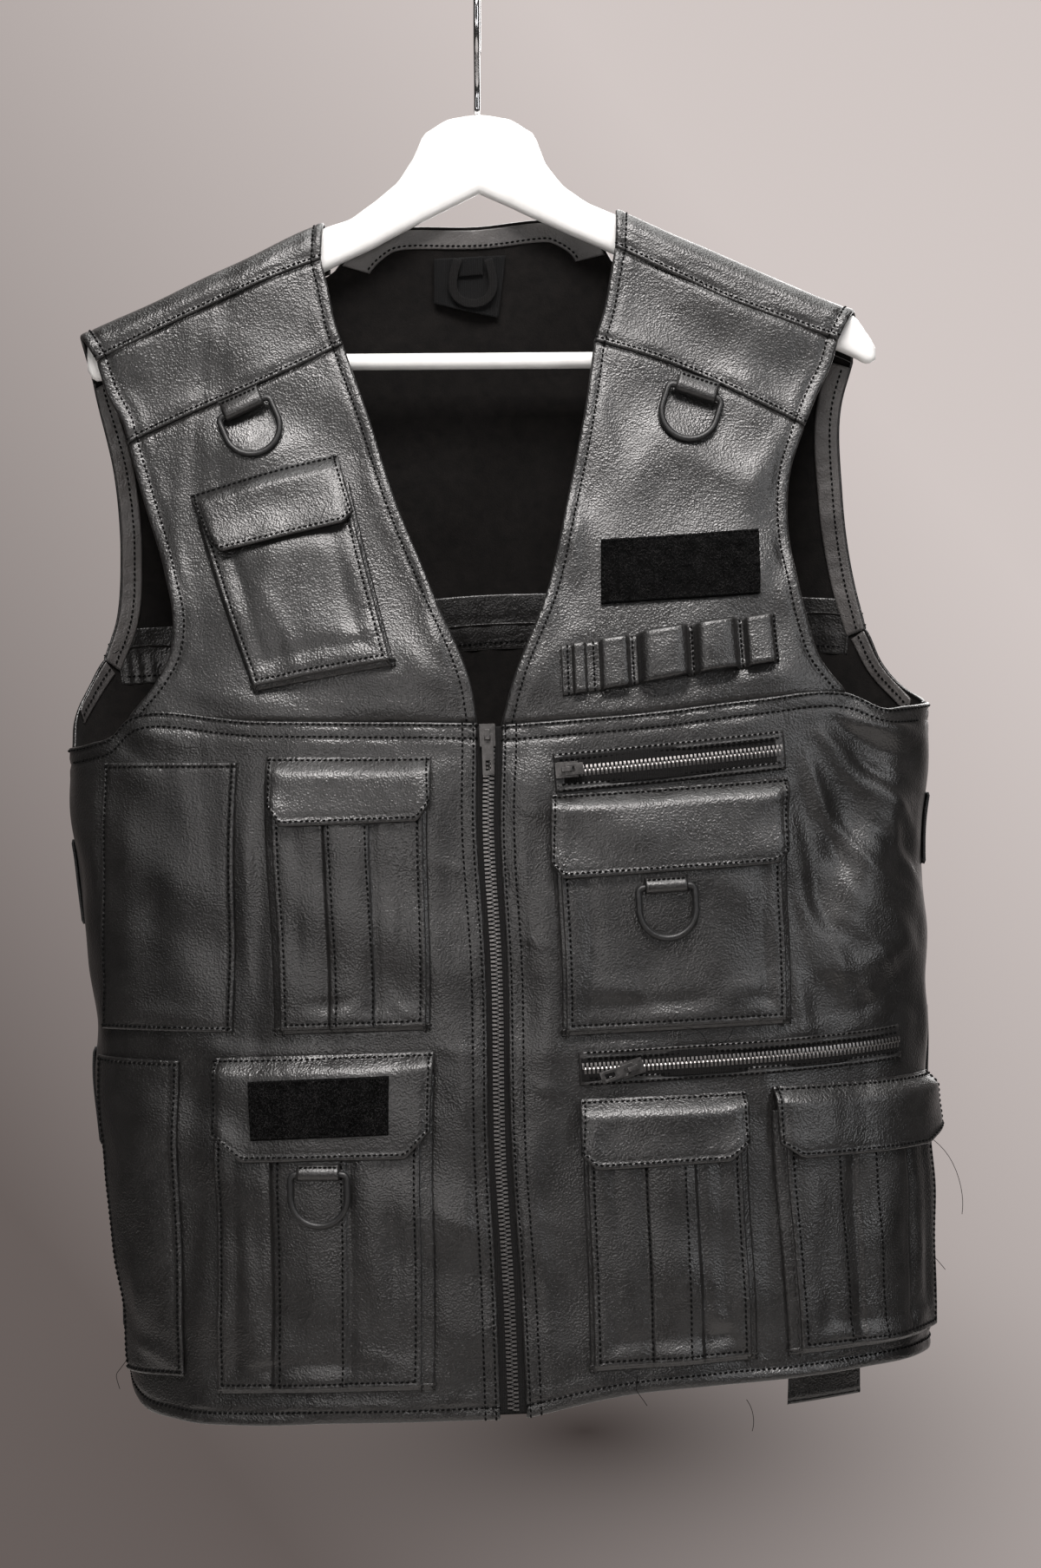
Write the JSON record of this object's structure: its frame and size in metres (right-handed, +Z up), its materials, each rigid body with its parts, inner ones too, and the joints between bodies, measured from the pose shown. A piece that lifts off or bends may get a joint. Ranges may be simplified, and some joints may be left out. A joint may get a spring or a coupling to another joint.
{
  "type": "leather utility vest on a coat hanger",
  "caption": "Sleeveless leather work vest with flap and zip pockets, D-rings and side webbing, hanging on a wooden hanger.",
  "frame": {"origin": "the highest point of the inside of the hanger's hook, where it sits on a rail", "axes": "+Z up, -Y out of the vest's front, +X towards the right of the picture, the wearer's left; the rail would run along X"},
  "size_m": [0.4952, 0.1631, 0.8254],
  "materials": {
    "leather": "black smooth leather, satin",
    "hook_and_loop": "matte black pile",
    "webbing": "black woven tape",
    "zip_metal": "dark gunmetal zip on black tape",
    "ring_metal": "black painted steel wire",
    "hanger_wood": "white satin paint",
    "hook_chrome": "polished"
  },
  "bodies": {
    "vest": {"front_lower_l": "leather", "front_lower_r": "leather", "front_upper_l": "leather", "front_upper_r": "leather", "yoke_l": "leather", "yoke_r": "leather", "back_upper": "leather", "back_lower": "leather", "shoulder_l": "leather", "shoulder_r": "leather", "chest_pocket_body": "leather", "box_pocket_body": "leather", "big_pocket_body": "leather", "large_pocket_body": "leather", "pocket_a_body": "leather", "pocket_b_body": "leather", "chest_pocket_flap": "leather", "box_pocket_flap": "leather", "big_pocket_flap": "leather", "large_pocket_flap": "leather", "pocket_a_flap": "leather", "pocket_b_flap": "leather", "chest_patch": "hook_and_loop", "flat_pocket": "leather", "side_pocket": "leather", "big_pocket_patch": "hook_and_loop", "strap_end": "leather", "neck_facing": "leather", "armhole_facing_l": "leather", "armhole_facing_r": "leather", "neck_label": "webbing", "size_tab": "webbing", "hang_loop": "webbing", "webbing_l_upper": "webbing", "webbing_l_middle": "webbing", "webbing_l_lower": "webbing", "webbing_r_upper": "webbing", "webbing_r_middle": "webbing", "webbing_r_lower": "webbing", "cartridge_strip": "leather", "ring_loop_l": "leather", "ring_loop_r": "leather", "ring_loop_big": "leather", "ring_loop_large": "leather", "upper_zip": "zip_metal", "lower_zip": "zip_metal", "front_zip": "zip_metal", "front_zip_slider": "zip_metal", "upper_zip_slider": "zip_metal", "lower_zip_slider": "zip_metal", "hanger": "hanger_wood", "hanger_hook": "hook_chrome"},
    "ring_l": {"ring_l": "ring_metal"},
    "ring_r": {"ring_r": "ring_metal"},
    "ring_big": {"ring_big": "ring_metal"},
    "ring_large": {"ring_large": "ring_metal"},
    "front_pull": {"front_zip_pull": "zip_metal"},
    "upper_pull": {"upper_zip_pull": "zip_metal"},
    "lower_pull": {"lower_zip_pull": "zip_metal"}
  },
  "joints": [
    {"name": "ring_l_swing", "type": "hinge", "parent": "vest", "child": "ring_l", "pos_m": [-0.13022, -0.02971, -0.24738], "axis": [-0.912, 0.0158, -0.4099], "range_deg": [0, 140]},
    {"name": "ring_r_swing", "type": "hinge", "parent": "vest", "child": "ring_r", "pos_m": [0.12269, -0.02993, -0.23837], "axis": [-0.9497, -0.0178, 0.3127], "range_deg": [0, 140]},
    {"name": "ring_big_swing", "type": "hinge", "parent": "vest", "child": "ring_big", "pos_m": [-0.0847, -0.08554, -0.66915], "axis": [-0.9922, 0.1227, -0.0217], "range_deg": [0, 130]},
    {"name": "ring_large_swing", "type": "hinge", "parent": "vest", "child": "ring_large", "pos_m": [0.10387, -0.07946, -0.51333], "axis": [-0.9943, -0.0852, -0.0643], "range_deg": [0, 130]},
    {"name": "front_pull_swing", "type": "hinge", "parent": "vest", "child": "front_pull", "pos_m": [0.00652, -0.0688, -0.43094], "axis": [-0.9994, -0.0022, -0.0347], "range_deg": [0, 150]},
    {"name": "upper_pull_swing", "type": "hinge", "parent": "vest", "child": "upper_pull", "pos_m": [0.0499, -0.07525, -0.44987], "axis": [0.0893, -0.0855, -0.9923], "range_deg": [0, 150]},
    {"name": "lower_pull_swing", "type": "hinge", "parent": "vest", "child": "lower_pull", "pos_m": [0.08543, -0.08373, -0.61167], "axis": [-0.3104, 0.0231, 0.9503], "range_deg": [0, 150]}
  ]
}
